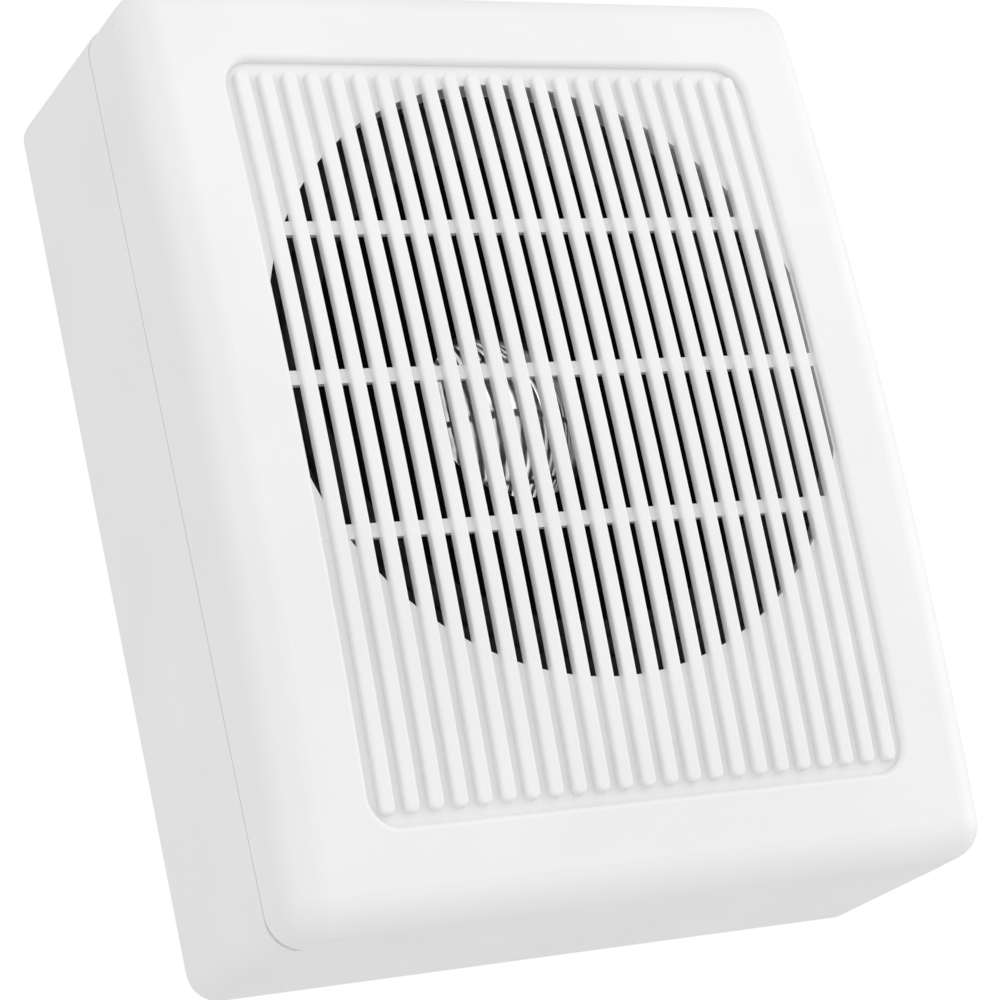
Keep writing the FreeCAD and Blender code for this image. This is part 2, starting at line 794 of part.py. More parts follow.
def speaker_rings():
    turned("speaker_gasket", [
        ("flange_radius", at("0")), ("%s + 3.2" % FLANGE_HOLE, at("0")),
        ("%s + 3.2" % FLANGE_HOLE, at("-gasket_thick")), ("flange_radius", at("-gasket_thick")),
    ])
    roll_out = "(%s - 0.2)" % FLANGE_HOLE
    roll_in = "(%s - roll_width)" % roll_out
    turned("speaker_surround", [
        ("%s + 3" % FLANGE_HOLE, at("0")), ("%s + 3" % FLANGE_HOLE, at("-surround_thick")),
        (roll_out, at("-surround_thick"), "-roll_radius"), (roll_in, at("-surround_thick")),
        ("%s - 1.8" % roll_in, at("-surround_thick")), ("%s - 1.8" % roll_in, at("0")),
        ("%s + surround_thick" % roll_in, at("0")),
        ("%s + surround_thick" % roll_in, at("-surround_thick"), "roll_radius - surround_thick"),
        ("%s - surround_thick" % roll_out, at("-surround_thick")),
        ("%s - surround_thick" % roll_out, at("0")),
    ])


def speaker_cone():
    rim = "(%s - 0.2 - roll_width)" % FLANGE_HOLE
    neck = "(coil_radius + glue_line)"
    turned("speaker_cone", [
        (rim, at("glue_line")), (rim, at("glue_line + cone_thick")),
        ("%s - 1.9" % rim, at("glue_line + cone_thick"), "-(cone_curve - cone_thick)"),
        (neck, at("neck_depth + cone_thick + 0.2")), (neck, at("neck_depth"), "cone_curve"),
        ("%s - 1.8" % rim, at("glue_line")),
    ])


def dust_cap():
    # A thin dome, thickest at its crown, on a flat foot.
    rise = "((cap_radius ^ 2 + cap_rise ^ 2) / (2 * cap_rise))"
    inner_radius = "(cap_radius - cap_thick * 1.2)"
    inner_rise = "(cap_rise - cap_thick)"
    inner = "((%s ^ 2 + %s ^ 2) / (2 * %s))" % (inner_radius, inner_rise, inner_rise)
    foot = "(neck_depth - 0.45)"
    turned("dust_cap", [
        ("cap_radius", at(foot), "-%s" % rise), ("0", at("%s - cap_rise" % foot)),
        ("0", at("%s - cap_rise + cap_thick" % foot), inner), (inner_radius, at(foot)),
    ])


def voice_coil():
    inner = "(coil_radius - former_thick)"
    outer = "(coil_radius + winding_thick)"
    turned("coil_former", [
        (inner, at("neck_depth")), (inner, at("winding_start + winding_length + 0.6")),
        ("coil_radius", at("winding_start + winding_length + 0.6")), ("coil_radius", at("neck_depth")),
    ])
    turned("coil_winding", [
        ("coil_radius", at("winding_start")), ("coil_radius", at("winding_start + winding_length")),
        (outer, at("winding_start + winding_length")), (outer, at("winding_start")),
    ])


def spider():
    # A corrugated disc from the coil former to the basket's floor.
    waves = 4
    start = "(coil_radius + glue_line)"
    lip = "(basket_floor_radius - 3)"
    rest = "basket_depth - sheet_steel - glue_line"
    front = []
    for index in range(2 * waves + 1):
        across = "(%s + (%s - %s) * %d / %d)" % (start, lip, start, index, 2 * waves)
        front.append((across, "%s - surround_thick - 1.6 * %d" % (rest, index % 2)))
    back = [(across, "%s + surround_thick" % depth) for across, depth in reversed(front)]
    edge = "basket_floor_radius - 0.8"
    corners = front + [(edge, "%s - surround_thick" % rest), (edge, rest)] + back
    turned("spider", [(across, at(depth)) for across, depth in corners])


def magnet_system():
    gap = "(coil_radius + winding_thick + coil_clearance)"
    plate = "basket_depth"
    magnet = "basket_depth + plate_thick"
    yoke = "basket_depth + plate_thick + magnet_thick"
    end = "basket_depth + plate_thick + magnet_thick + back_plate_thick"
    pole = "(coil_radius - former_thick - coil_clearance)"
    turned("front_plate", [
        (gap, at(plate)), (gap, at(magnet)), ("plate_radius", at(magnet)), ("plate_radius", at(plate)),
    ])
    turned("speaker_magnet", [
        ("magnet_hole", at(magnet)), ("magnet_hole", at(yoke)), ("magnet_radius", at(yoke)),
        ("magnet_radius", at(magnet)),
    ])
    turned("magnet_yoke", [
        ("pole_vent", at(plate)), ("pole_vent", at(end)), ("plate_radius", at(end)),
        ("plate_radius", at(yoke)), (pole, at(yoke)), (pole, at(plate)),
    ])


def speaker_screws():
    screws = []
    for index, (across, up) in enumerate(corner_signs()):
        screws.append(slotted_screw(
            "SpeakerScrew%d" % (index + 1),
            "(%s %s)" % (across, LUG), "(speaker_height + (%s %s))" % (up, LUG),
            FLANGE, "head_radius", "head_height", "thread_radius - thread_gap", "screw_length"))
    group("speaker_screws", screws)


# Tag strip and leads

def tag_strip():
    back = "(%s + strip_thick)" % FLANGE_BACK
    keep(box("tag_strip", "-strip_width / 2", FLANGE_BACK, STRIP_LOW, "strip_width", "strip_thick",
             "strip_height"))
    tags = [box("Tag%d" % (index + 1), "%s tag_across - tag_width / 2" % side, back,
                "%s + tag_lift" % STRIP_LOW,
                "tag_width", "tag_length", "tag_thick") for index, side in enumerate(("-", ""))]
    group("speaker_tags", tags)


def wire(label, points, radius, bend):
    # A round wire along straight runs joined by tangent arcs.
    points = [FreeCAD.Vector(*point) for point in points]
    edges = []
    start = points[0]
    for before, corner, after in zip(points, points[1:], points[2:]):
        inward = (before - corner).normalize()
        outward = (after - corner).normalize()
        half = inward.getAngle(outward) / 2
        setback = bend / math.tan(half)
        first = corner + inward * setback
        last = corner + outward * setback
        centre = corner + (inward + outward).normalize() * (bend / math.sin(half))
        middle = centre + (corner - centre).normalize() * bend
        edges += [Part.makeLine(start, first), Part.Arc(first, middle, last).toShape()]
        start = last
    edges.append(Part.makeLine(start, points[-1]))
    path = Part.Wire(edges)
    profile = Part.Wire(Part.makeCircle(radius, points[0], points[1] - points[0]))
    solid = path.makePipeShell([profile], True, False)
    expected = math.pi * radius ** 2 * path.Length
    if abs(solid.Volume - expected) > 0.01 * expected:
        raise RuntimeError("%s doesn't follow its route" % label)
    item = doc.addObject("Part::Feature", label)
    item.Shape = solid
    PIECES.append(item)
    return item


def speaker_leads():
    # Each lead is soldered under its tag, runs back, turns down and comes forward into the plug.
    solder = number("%s + tag_lift - lead_radius" % STRIP_LOW) - TOUCH
    start = number("%s + strip_thick + tag_length / 3" % FLANGE_BACK)
    back = start + number("lead_reach")
    front = number("%s - plug_height" % BOARD_FRONT)
    down = number(PLUG_MIDDLE)
    ease = number("2 * lead_bend + 0.4")
    for label, side in (("lead_red", "-"), ("lead_black", "")):
        across = number("%s tag_across" % side)
        plug = number("%s plug_pitch / 2" % side)
        wire(label, [
            (across, start, solder), (across, back - ease, solder), (across, back + ease / 4, down),
            (plug, front - 2 * ease, down), (plug, front - TOUCH, down),
        ], number("lead_radius"), number("lead_bend"))


# Driver board

def circuit_board():
    body = new_body("circuit_board")
    board = front_sketch(body, "BoardOutline", BOARD_BACK)
    rectangle(board, "-board_width / 2", "board_top - board_height", "board_width / 2", "board_top")
    pad(body, board, "board_thick")
    holes = front_sketch(body, "BoardHoles", BOARD_FRONT)
    for across, up in corner_signs():
        circle(holes, "%s %s" % (across, BOARD_SCREW_ACROSS),
               "%s + (%s (board_height / 2 - board_edge))" % (BOARD_MIDDLE, up), "lug_hole")
    pocket(body, holes, "board_thick")
    screws = []
    for index, (across, up) in enumerate(corner_signs()):
        screws.append(slotted_screw(
            "BoardScrew%d" % (index + 1), "(%s %s)" % (across, BOARD_SCREW_ACROSS),
            "(%s + (%s (board_height / 2 - board_edge)))" % (BOARD_MIDDLE, up), BOARD_FRONT,
            "board_head_radius", "board_head_height", "thread_radius - thread_gap",
            "board_thick + board_screw_length"))
    group("board_screws", screws)


def on_board(name, left, low, width, tall, height, lift="0"):
    # A block that stands forward of the board, with its lower left corner measured from the board's.
    return box(name, "-board_width / 2 + (%s)" % left, "%s - (%s) - (%s)" % (BOARD_FRONT, height, lift),
               "board_top - board_height + (%s)" % low, width, height, tall)


def standing(name, across, up, radius, height, lift="0"):
    return cylinder(name, radius, height,
                    "(-board_width / 2 + (%s))" % across, "%s - (%s)" % (BOARD_FRONT, lift),
                    "(board_top - board_height + (%s))" % up)


def terminal_block():
    base = on_board("TerminalBase", "terminal_left", "terminal_low", "%d * terminal_pitch" % TERMINAL_WAYS,
                    "terminal_tall", "terminal_height")
    head_height = "(terminal_height - well_floor - 1)"
    screw_up = "(terminal_low + well_up)"
    tools = []
    screws = []
    for index in range(TERMINAL_WAYS):
        middle = "(terminal_left + %s * terminal_pitch)" % (index + 0.5)
        number_text = str(index + 1)
        tools.append(on_board("WireEntry" + number_text, "%s - entry_width / 2" % middle,
                              "terminal_low - 1",
                              "entry_width", "terminal_tall / 2 + 1", "entry_height"))
        tools.append(standing("ScrewWell" + number_text, middle, screw_up, "well_radius", "terminal_height",
                              "well_floor"))
        head = standing("TerminalHead" + number_text, middle, screw_up, "well_radius - 0.2", head_height,
                        "well_floor")
        slot = on_board("TerminalSlot" + number_text, "%s - well_radius" % middle, "%s - 0.3" % screw_up,
                        "2 * well_radius", "0.6", head_height, "well_floor + 0.8")
        screws.append(cut("TerminalScrew" + number_text, head, slot))
    keep(cut("terminal_block", base, fused("TerminalHollows", *tools)))
    group("terminal_screws", screws)


def power_stage():
    plate = on_board("SinkPlate", "sink_left", "sink_low", "sink_width", "sink_plate", "sink_height")
    fins = []
    for index in range(FINS):
        left = "sink_left + %d / %d * (sink_width - fin_thick)" % (index, FINS - 1)
        fins.append(on_board("SinkFin%d" % (index + 1), left, "sink_low + sink_plate", "fin_thick",
                             "fin_tall",
                             "sink_height"))
    keep(fused("heat_sink", plate, *fins))
    tab_low = "(sink_low - tab_thick - transistor_gap)"
    case_low = "(%s - transistor_thick)" % tab_low
    cases = []
    legs = []
    for index in range(2):
        middle = "(sink_left + %s * sink_width)" % (0.25 + 0.5 * index)
        left = "%s - transistor_width / 2" % middle
        case = on_board("TransistorCase%d" % (index + 1), left, case_low, "transistor_width",
                        "transistor_thick",
                        "transistor_tall - transistor_lift", "transistor_lift")
        tab = on_board("TransistorTab%d" % (index + 1), left, tab_low, "transistor_width", "tab_thick",
                       "tab_top - transistor_lift", "transistor_lift")
        cases.append(fused("Transistor%d" % (index + 1), case, tab))
        for leg in (-1, 0, 1):
            leg_left = "%s + %d * leg_pitch - leg_width / 2" % (middle, leg)
            legs.append(on_board("Leg%d_%d" % (index + 1, leg + 2), leg_left, "%s + leg_width" % case_low,
                                 "leg_width", "leg_thick", "transistor_lift"))
    group("power_transistors", cases)
    group("transistor_legs", legs)


def board_parts():
    cans = [standing("Can%d" % (index + 1), "can_left + %d * can_spacing" % index, "can_up", "can_radius",
                     "can_height", "part_lift") for index in range(2)]
    group("capacitors", cans)
    keep(on_board("driver_chip", "chip_left", "chip_low", "chip_width", "chip_tall", "chip_height"))
    pins = []
    for row, up in (("1", "chip_low - pin_tall - pin_gap"), ("2", "chip_low + chip_tall + pin_gap")):
        for index in range(CHIP_PINS):
            steps = index - (CHIP_PINS - 1) / 2
            left = "chip_left + chip_width / 2 + %s * leg_pitch - pin_width / 2" % steps
            pins.append(on_board("ChipPin%s_%d" % (row, index + 1), left, up, "pin_width", "pin_tall",
                                 "pin_height"))
    group("chip_pins", pins)
    resistors = []
    for index in range(RESISTORS):
        body = doc.addObject("Part::Cylinder", "Resistor%d" % (index + 1))
        bind(body, "Radius", "resistor_radius")
        bind(body, "Height", "resistor_length")
        bind(body, "Placement.Base.x", "-board_width / 2 + resistor_left + %d * resistor_spacing" % index)
        bind(body, "Placement.Base.y", "%s - resistor_radius - part_lift" % BOARD_FRONT)
        bind(body, "Placement.Base.z", "board_top - board_height + resistor_low")
        resistors.append(body)
    group("resistors", resistors)
    choke = ("choke_left", "choke_up")
    top_lift = "part_lift + choke_height - choke_rim"
    keep(fused("choke_core",
               standing("ChokeFoot", *choke, "choke_radius", "choke_rim", "part_lift"),
               standing("ChokeNeck", *choke, "choke_neck", "choke_height", "part_lift"),
               standing("ChokeTop", *choke, "choke_radius", "choke_rim", top_lift)))
    room = "choke_height - 2 * choke_rim - 4 * glue_line"
    lift = "part_lift + choke_rim + 2 * glue_line"
    keep(cut("choke_winding", standing("WindingOuter", *choke, "choke_fill", room, lift),
             standing("WindingInner", *choke, "choke_neck + glue_line", room, lift)))
    keep(on_board("lead_plug", "(board_width - plug_width) / 2", "board_height - plug_drop - plug_tall / 2",
                  "plug_width", "plug_tall", "plug_height"))


def tone_jumper():
    base = on_board("JumperBase", "header_left", "header_low", "header_width", "header_tall",
                    "header_height")
    low = "header_low + (header_tall - post_width) / 2"
    middles = ["header_left + header_width / 2 + %d * leg_pitch" % side for side in (-1, 0, 1)]
    pins = [on_board("JumperPin%d" % (index + 1), "%s - post_width / 2" % middle, low, "post_width",
                     "post_width",
                     "post_height") for index, middle in enumerate(middles)]
    keep(fused("jumper_pins", base, *pins))
    shell = on_board("LinkShell", "header_left", "header_low", "link_width", "header_tall",
                     "link_height - header_height - link_gap", "header_height + link_gap")
    holes = [on_board("LinkHole%d" % (index + 1), "%s - post_width / 2 - link_gap" % middle,
                      "%s - link_gap" % low,
                      "post_width + 2 * link_gap", "post_width + 2 * link_gap", "link_height + 1")
             for index, middle in enumerate(middles[:2])]
    keep(cut("jumper_link", shell, fused("LinkHollows", *holes)))


# Tamper switch

def tamper_switch():
    across = "(tamper_across)"
    up = "(tamper_up)"
    body = box("TamperBlock", "tamper_across - tamper_width / 2", TAMPER_FRONT,
               "tamper_up - tamper_height / 2",
               "tamper_width", "tamper_depth", "tamper_height")
    bore = cylinder("TamperBore", "plunger_radius + plunger_fit", "tamper_depth - 0.8", across,
                    "%s + tamper_depth - 0.8" % TAMPER_FRONT, up)
    keep(cut("tamper_body", body, bore))
    shaft = cylinder("PlungerShaft", "plunger_radius", "plunger_grip + plunger_reach", across,
                     "%s + plunger_grip" % TAMPER_FRONT, up)
    cap = cylinder("PlungerCap", "plunger_head", "plunger_cap", across,
                   "%s - plunger_reach" % TAMPER_FRONT, up)
    keep(fused("tamper_plunger", shaft, cap))
    # The spring is the sleeve that its turns fill, between the switch's front and the plunger's cap.
    length = "(plunger_reach - 2 * spring_gap)"
    turns = cylinder("SpringOuter", "spring_radius + spring_wire", length, across,
                     "%s - spring_gap" % TAMPER_FRONT, up)
    hollow = cylinder("SpringInner", "spring_radius - spring_wire", length, across,
                      "%s - spring_gap" % TAMPER_FRONT, up)
    keep(cut("tamper_spring", turns, hollow))


def build():
    front_cover()
    rear_box()
    cable_grommet()
    speaker_basket()
    speaker_rings()
    speaker_cone()
    dust_cap()
    voice_coil()
    spider()
    magnet_system()
    speaker_screws()
    tag_strip()
    circuit_board()
    terminal_block()
    power_stage()
    board_parts()
    tone_jumper()
    speaker_leads()
    tamper_switch()
    doc.recompute()


def write_parts():
    for item in doc.Objects:
        if "Invalid" in item.State or "Error" in item.State:
            raise RuntimeError("%s failed: %s" % (item.Name, item.State))
    os.makedirs("parts", exist_ok=True)
    for item in PIECES:
        if item.Shape.isNull() or not item.Shape.isValid() or not item.Shape.Solids:
            raise RuntimeError("%s has no valid solid" % item.Label)
        if item.TypeId == "PartDesign::Body" and len(item.Shape.Solids) > 1:
            raise RuntimeError("%s fell apart" % item.Label)
        item.Shape.exportStep("parts/%s.step" % item.Label)


build()
write_parts()
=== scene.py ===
import math
import bmesh
import bpy
from mathutils import Matrix, Vector


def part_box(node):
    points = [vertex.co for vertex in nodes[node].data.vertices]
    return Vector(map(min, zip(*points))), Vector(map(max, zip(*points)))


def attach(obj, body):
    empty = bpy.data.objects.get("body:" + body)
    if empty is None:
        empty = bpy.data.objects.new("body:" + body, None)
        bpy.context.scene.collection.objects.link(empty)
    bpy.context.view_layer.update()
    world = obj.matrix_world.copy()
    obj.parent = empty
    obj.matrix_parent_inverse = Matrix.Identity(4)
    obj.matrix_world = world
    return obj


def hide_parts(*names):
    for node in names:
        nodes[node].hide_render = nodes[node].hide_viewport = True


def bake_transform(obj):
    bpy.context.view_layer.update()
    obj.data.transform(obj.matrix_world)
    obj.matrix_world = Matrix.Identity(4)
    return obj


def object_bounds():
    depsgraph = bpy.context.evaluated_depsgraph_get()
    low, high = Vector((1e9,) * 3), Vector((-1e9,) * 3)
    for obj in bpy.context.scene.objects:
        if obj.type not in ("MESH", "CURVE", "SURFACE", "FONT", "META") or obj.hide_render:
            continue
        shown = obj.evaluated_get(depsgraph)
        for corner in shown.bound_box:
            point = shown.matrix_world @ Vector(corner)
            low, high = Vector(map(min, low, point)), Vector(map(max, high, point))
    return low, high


# Looks for the alarm siren: materials, finer stand-ins for the small parts, light and camera.
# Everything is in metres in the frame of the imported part: +X right, +Z up, the wall at Y = 0.

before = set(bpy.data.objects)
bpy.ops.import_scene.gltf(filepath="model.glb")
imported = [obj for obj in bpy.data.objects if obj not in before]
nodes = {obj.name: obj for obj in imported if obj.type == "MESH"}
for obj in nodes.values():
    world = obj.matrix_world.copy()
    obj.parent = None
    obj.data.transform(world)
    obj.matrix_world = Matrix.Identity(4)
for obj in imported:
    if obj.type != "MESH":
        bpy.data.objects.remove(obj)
cad_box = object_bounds()
MM = 0.001


# Materials

class Shader:
    """A Principled material and the few node helpers that its patterns need."""

    def __init__(self, name, colour, roughness, metallic=0.0, **sockets):
        self.material = bpy.data.materials.new(name)
        self.material.use_nodes = True
        self.tree = self.material.node_tree
        self.main = self.tree.nodes["Principled BSDF"]
        self.main.inputs["Base Color"].default_value = (*colour, 1)
        self.main.inputs["Roughness"].default_value = roughness
        self.main.inputs["Metallic"].default_value = metallic
        for socket, value in sockets.items():
            self.main.inputs[socket.replace("_", " ")].default_value = value
        self.place = self.add("ShaderNodeTexCoord").outputs["Object"]

    def add(self, kind, **settings):
        node = self.tree.nodes.new(kind)
        for name, value in settings.items():
            setattr(node, name, value)
        return node

    def link(self, source, target):
        self.tree.links.new(source, target)

    def stretched(self, scale):
        mapping = self.add("ShaderNodeMapping")
        mapping.inputs["Scale"].default_value = scale
        self.link(self.place, mapping.inputs["Vector"])
        return mapping.outputs["Vector"]

    def noise(self, size, detail=2.0, stretch=(1, 1, 1)):
        """Noise whose features are about this size, in metres."""
        node = self.add("ShaderNodeTexNoise")
        node.inputs["Scale"].default_value = 1 / size
        node.inputs["Detail"].default_value = detail
        self.link(self.stretched(stretch), node.inputs["Vector"])
        return node.outputs["Fac"]

    def cells(self, size):
        """Distance from the middle of scattered cells of about this size."""
        node = self.add("ShaderNodeTexVoronoi", feature="F1")
        node.inputs["Scale"].default_value = 1 / size
        self.link(self.place, node.inputs["Vector"])
        return node.outputs["Distance"]

    def bands(self, size, direction):
        """Even waves that follow each other along one direction."""
        node = self.add("ShaderNodeTexWave", wave_type="BANDS", bands_direction=direction)
        node.inputs["Scale"].default_value = 0.5 / size
        self.link(self.place, node.inputs["Vector"])
        return node.outputs["Fac"]

    def ramp(self, factor, low, high, first, second):
        """Moves from one value or colour to another as the factor goes from low to high."""
        node = self.add("ShaderNodeValToRGB")
        stops = node.color_ramp.elements
        for stop, position, value in ((stops[0], low, first), (stops[1], high, second)):
            colour = value if isinstance(value, tuple) else (value, value, value)
            stop.position = position
            stop.color = (*colour, 1)
        self.link(factor, node.inputs["Fac"])
        return node.outputs["Color"]

    def tint(self, factor, low, high, first, second):
        self.link(self.ramp(factor, low, high, first, second), self.main.inputs["Base Color"])
        return self

    def gloss(self, factor, low, high, first, second):
        self.link(self.ramp(factor, low, high, first, second), self.main.inputs["Roughness"])
        return self

    def bump(self, *layers):
        """Each layer is a height pattern and its depth in metres; the first is the coarsest."""
        normal = None
        for height, depth in layers:
            node = self.add("ShaderNodeBump")
            node.inputs["Distance"].default_value = depth
            node.inputs["Strength"].default_value = 1.0
            self.link(height, node.inputs["Height"])
            if normal is not None:
                self.link(normal, node.inputs["Normal"])
            normal = node.outputs["Normal"]
        self.link(normal, self.main.inputs["Normal"])
        return self


def moulded(name, colour, roughness):
    """Moulded plastic: a spark-eroded grain, slow changes in gloss and faint flow marks."""
    shade = Shader(name, colour, roughness, Specular_IOR_Level=0.5)
    darker = tuple(0.97 * part for part in colour)
    shade.tint(shade.noise(25 * MM, 3), 0.35, 0.65, darker, colour)
    shade.gloss(shade.noise(8 * MM, 4), 0.3, 0.7, roughness - 0.06, roughness + 0.06)
    flow = shade.noise(12 * MM, 1)
    grain = shade.noise(0.35 * MM, 3)
    return shade.bump((flow, 0.02 * MM), (grain, 0.006 * MM))


def metal(name, colour, roughness, stretch=(1, 1, 1)):
    """Plain or plated metal with fine marks; stretch lays the marks along one direction."""
    shade = Shader(name, colour, roughness, metallic=1.0)
    darker = tuple(0.78 * part for part in colour)
    shade.tint(shade.noise(3 * MM, 4), 0.35, 0.7, darker, colour)
    shade.gloss(shade.noise(1.2 * MM, 5, stretch), 0.3, 0.7, roughness - 0.1, roughness + 0.12)
    return shade.bump((shade.noise(0.3 * MM, 4, stretch), 0.004 * MM))


def rubber(name, colour, roughness=0.6):
    shade = Shader(name, colour, roughness, Specular_IOR_Level=0.4)
    lighter = tuple(part + 0.02 for part in colour)
    shade.tint(shade.noise(2 * MM, 5), 0.4, 0.75, colour, lighter)
    return shade.bump((shade.noise(0.3 * MM, 3), 0.01 * MM))


def painted_steel(name):
    """Black electrophoretic paint over pressed steel, with orange peel and dust."""
    shade = Shader(name, (0.012, 0.012, 0.013), 0.38, Coat_Weight=0.15)
    shade.gloss(shade.noise(2.5 * MM, 4), 0.35, 0.7, 0.3, 0.5)
    return shade.bump((shade.noise(0.9 * MM, 2), 0.015 * MM))


def foam(name):
    shade = Shader(name, (0.03, 0.03, 0.032), 0.95)
    shade.tint(shade.cells(0.5 * MM), 0.1, 0.6, (0.01, 0.01, 0.01), (0.06, 0.06, 0.062))
    return shade.bump((shade.cells(0.5 * MM), 0.12 * MM))


def cone_paper(name):
    """Black pulp with short pale fibres lying every way; the black is partly the pulp's own colour and
    partly painted shade for the dark hollow behind the grille.
    """
    # Base and fibre colours are darker than real pulp: painted shade for the unlit space behind the grille
    # slots.
    shade = Shader(name, (0.003, 0.003, 0.003), 0.85, Specular_IOR_Level=0.1)
    fibres = shade.noise(0.25 * MM, 6, (1, 1, 5))
    shade.tint(fibres, 0.62, 0.78, (0.002, 0.002, 0.002), (0.014, 0.013, 0.012))
    return shade.bump((shade.noise(4 * MM, 2), 0.04 * MM), (fibres, 0.05 * MM))


def chrome(name):
    """Bright metallised dust cap with faint handling marks."""
    shade = Shader(name, (0.93, 0.93, 0.94), 0.08, metallic=1.0)
    shade.gloss(shade.noise(1.5 * MM, 5), 0.4, 0.75, 0.05, 0.16)
    return shade.bump((shade.noise(6 * MM, 2), 0.05 * MM))


def copper_wire(name, direction):
    """Enamelled wire wound in close turns along one direction."""
    shade = Shader(name, (0.72, 0.26, 0.09), 0.28, metallic=1.0, Coat_Weight=0.6)
    turns = shade.bands(0.3 * MM, direction)
    shade.tint(turns, 0.0, 0.6, (0.22, 0.06, 0.02), (0.75, 0.3, 0.11))
    return shade.bump((turns, 0.1 * MM))


def woven(name):
    """Resin-stiffened cotton of the spider: threads that cross each other."""
    shade = Shader(name, (0.62, 0.4, 0.2), 0.75)
    across = shade.bands(0.45 * MM, "X")
    upward = shade.bands(0.45 * MM, "Z")
    product = shade.add("ShaderNodeMath", operation="MULTIPLY")
    shade.link(across, product.inputs[0])
    shade.link(upward, product.inputs[1])
    shade.tint(product.outputs[0], 0.0, 0.8, (0.3, 0.16, 0.06), (0.68, 0.45, 0.24))
    return shade.bump((product.outputs[0], 0.08 * MM))


def ferrite(name):
    """Pressed and ground ceramic: dark grey, slightly open, with pale chips."""
    shade = Shader(name, (0.035, 0.035, 0.038), 0.55)
    shade.tint(shade.noise(0.6 * MM, 6), 0.62, 0.8, (0.03, 0.03, 0.032), (0.12, 0.12, 0.125))
    return shade.bump((shade.noise(0.8 * MM, 5), 0.03 * MM))


def laminate(name):
    """Green solder mask over copper tracks, with tinned pads in a grid."""
    shade = Shader(name, (0.01, 0.16, 0.06), 0.3, Coat_Weight=0.5)
    cell = shade.add("ShaderNodeTexVoronoi", feature="F1", distance="CHEBYCHEV")
    cell.inputs["Scale"].default_value = 1 / (5 * MM)
    cell.inputs["Randomness"].default_value = 0.7
    shade.link(shade.place, cell.inputs["Vector"])
    rings = shade.add("ShaderNodeMath", operation="PINGPONG")
    rings.inputs[1].default_value = 0.11
    shade.link(cell.outputs["Distance"], rings.inputs[0])
    shade.tint(rings.outputs[0], 0.045, 0.06, (0.008, 0.13, 0.045), (0.02, 0.24, 0.09))
    return shade.bump((rings.outputs[0], 0.1 * MM))


def phenolic(name):
    """Brown paper laminate with a faint weave."""
    shade = Shader(name, (0.32, 0.14, 0.05), 0.5)
    shade.tint(shade.noise(0.5 * MM, 5), 0.35, 0.7, (0.24, 0.1, 0.035), (0.4, 0.19, 0.08))
    return shade.bump((shade.bands(0.4 * MM, "X"), 0.02 * MM))


def ringed(name, colour, rings, roughness=0.35):
    """A painted resistor body: a base coat with coloured bands across it."""
    shade = Shader(name, colour, roughness, Coat_Weight=0.4)
    shade.tint(shade.bands(rings, "Z"), 0.62, 0.66, colour, (0.18, 0.05, 0.02))
    return shade.bump((shade.noise(0.5 * MM, 3), 0.02 * MM))


def sleeve(name):
    """Shrunk vinyl sleeve of a capacitor, with fine pull marks along it."""
    shade = Shader(name, (0.012, 0.014, 0.03), 0.3, Coat_Weight=0.5)
    shade.gloss(shade.noise(1.2 * MM, 3, (1, 0.1, 1)), 0.3, 0.7, 0.22, 0.4)
    return shade.bump((shade.noise(1.5 * MM, 2, (1, 0.15, 1)), 0.03 * MM))


def slot_materials():
    """One finish for each of the record's material slots."""
    return {
        "case_plastic": moulded("case_plastic", (0.86, 0.86, 0.86), 0.42),
        "black_rubber": rubber("black_rubber", (0.018, 0.018, 0.019)),
        "basket_steel": painted_steel("basket_steel"),
        "gasket_foam": foam("gasket_foam"),
        "surround_rubber": rubber("surround_rubber", (0.004, 0.004, 0.004), 0.6),
        "cone_paper": cone_paper("cone_paper"),
        "cap_chrome": chrome("cap_chrome"),
        "former_film": metal("former_film", (0.75, 0.75, 0.77), 0.3, (1, 0.1, 1)),
        "copper_enamel": copper_wire("copper_enamel", "Y"),
        "spider_cloth": woven("spider_cloth"),
        "zinc_steel": metal("zinc_steel", (0.66, 0.67, 0.68), 0.3),
        "ferrite": ferrite("ferrite"),
        "phenolic": phenolic("phenolic"),
        "tinned_brass": metal("tinned_brass", (0.82, 0.8, 0.74), 0.28),
        "board_laminate": laminate("board_laminate"),
        "terminal_green": moulded("terminal_green", (0.02, 0.25, 0.09), 0.4),
        "sink_aluminium": metal("sink_aluminium", (0.78, 0.79, 0.8), 0.35, (1, 0.06, 1)),
        "black_plastic": moulded("black_plastic", (0.02, 0.02, 0.021), 0.45),
        "can_sleeve": sleeve("can_sleeve"),
        "resistor_body": ringed("resistor_body", (0.6, 0.45, 0.26), 2.2 * MM),
        "white_nylon": moulded("white_nylon", (0.78, 0.76, 0.7), 0.38),
        "wire_red": rubber("wire_red", (0.5, 0.015, 0.012), 0.4),
        "wire_black": rubber("wire_black", (0.014, 0.014, 0.014), 0.4),
        "spring_steel": metal("spring_steel", (0.6, 0.6, 0.6), 0.22),
        "link_plastic": moulded("link_plastic", (0.02, 0.08, 0.42), 0.4),
    }


def dress_nodes(finishes):
    for node in nodes.values():
        for slot in node.material_slots:
            slot.material = finishes[slot.material.name.split(".")[0]].material


# Finer pieces for the small parts on the board

def new_piece(name, mesh_data, finish, body, *replaced):
    """Shows a mesh in place of the CAD nodes named, riding on the same body."""
    piece = bpy.data.objects.new(name, mesh_data)
    bpy.context.scene.collection.objects.link(piece)
    for shade in finish:
        mesh_data.materials.append(shade.material)
    for face in mesh_data.polygons:
        face.use_smooth = True
    mesh_data.set_sharp_from_angle(angle=math.radians(35))
    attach(piece, body)
    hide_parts(*replaced)
    return piece


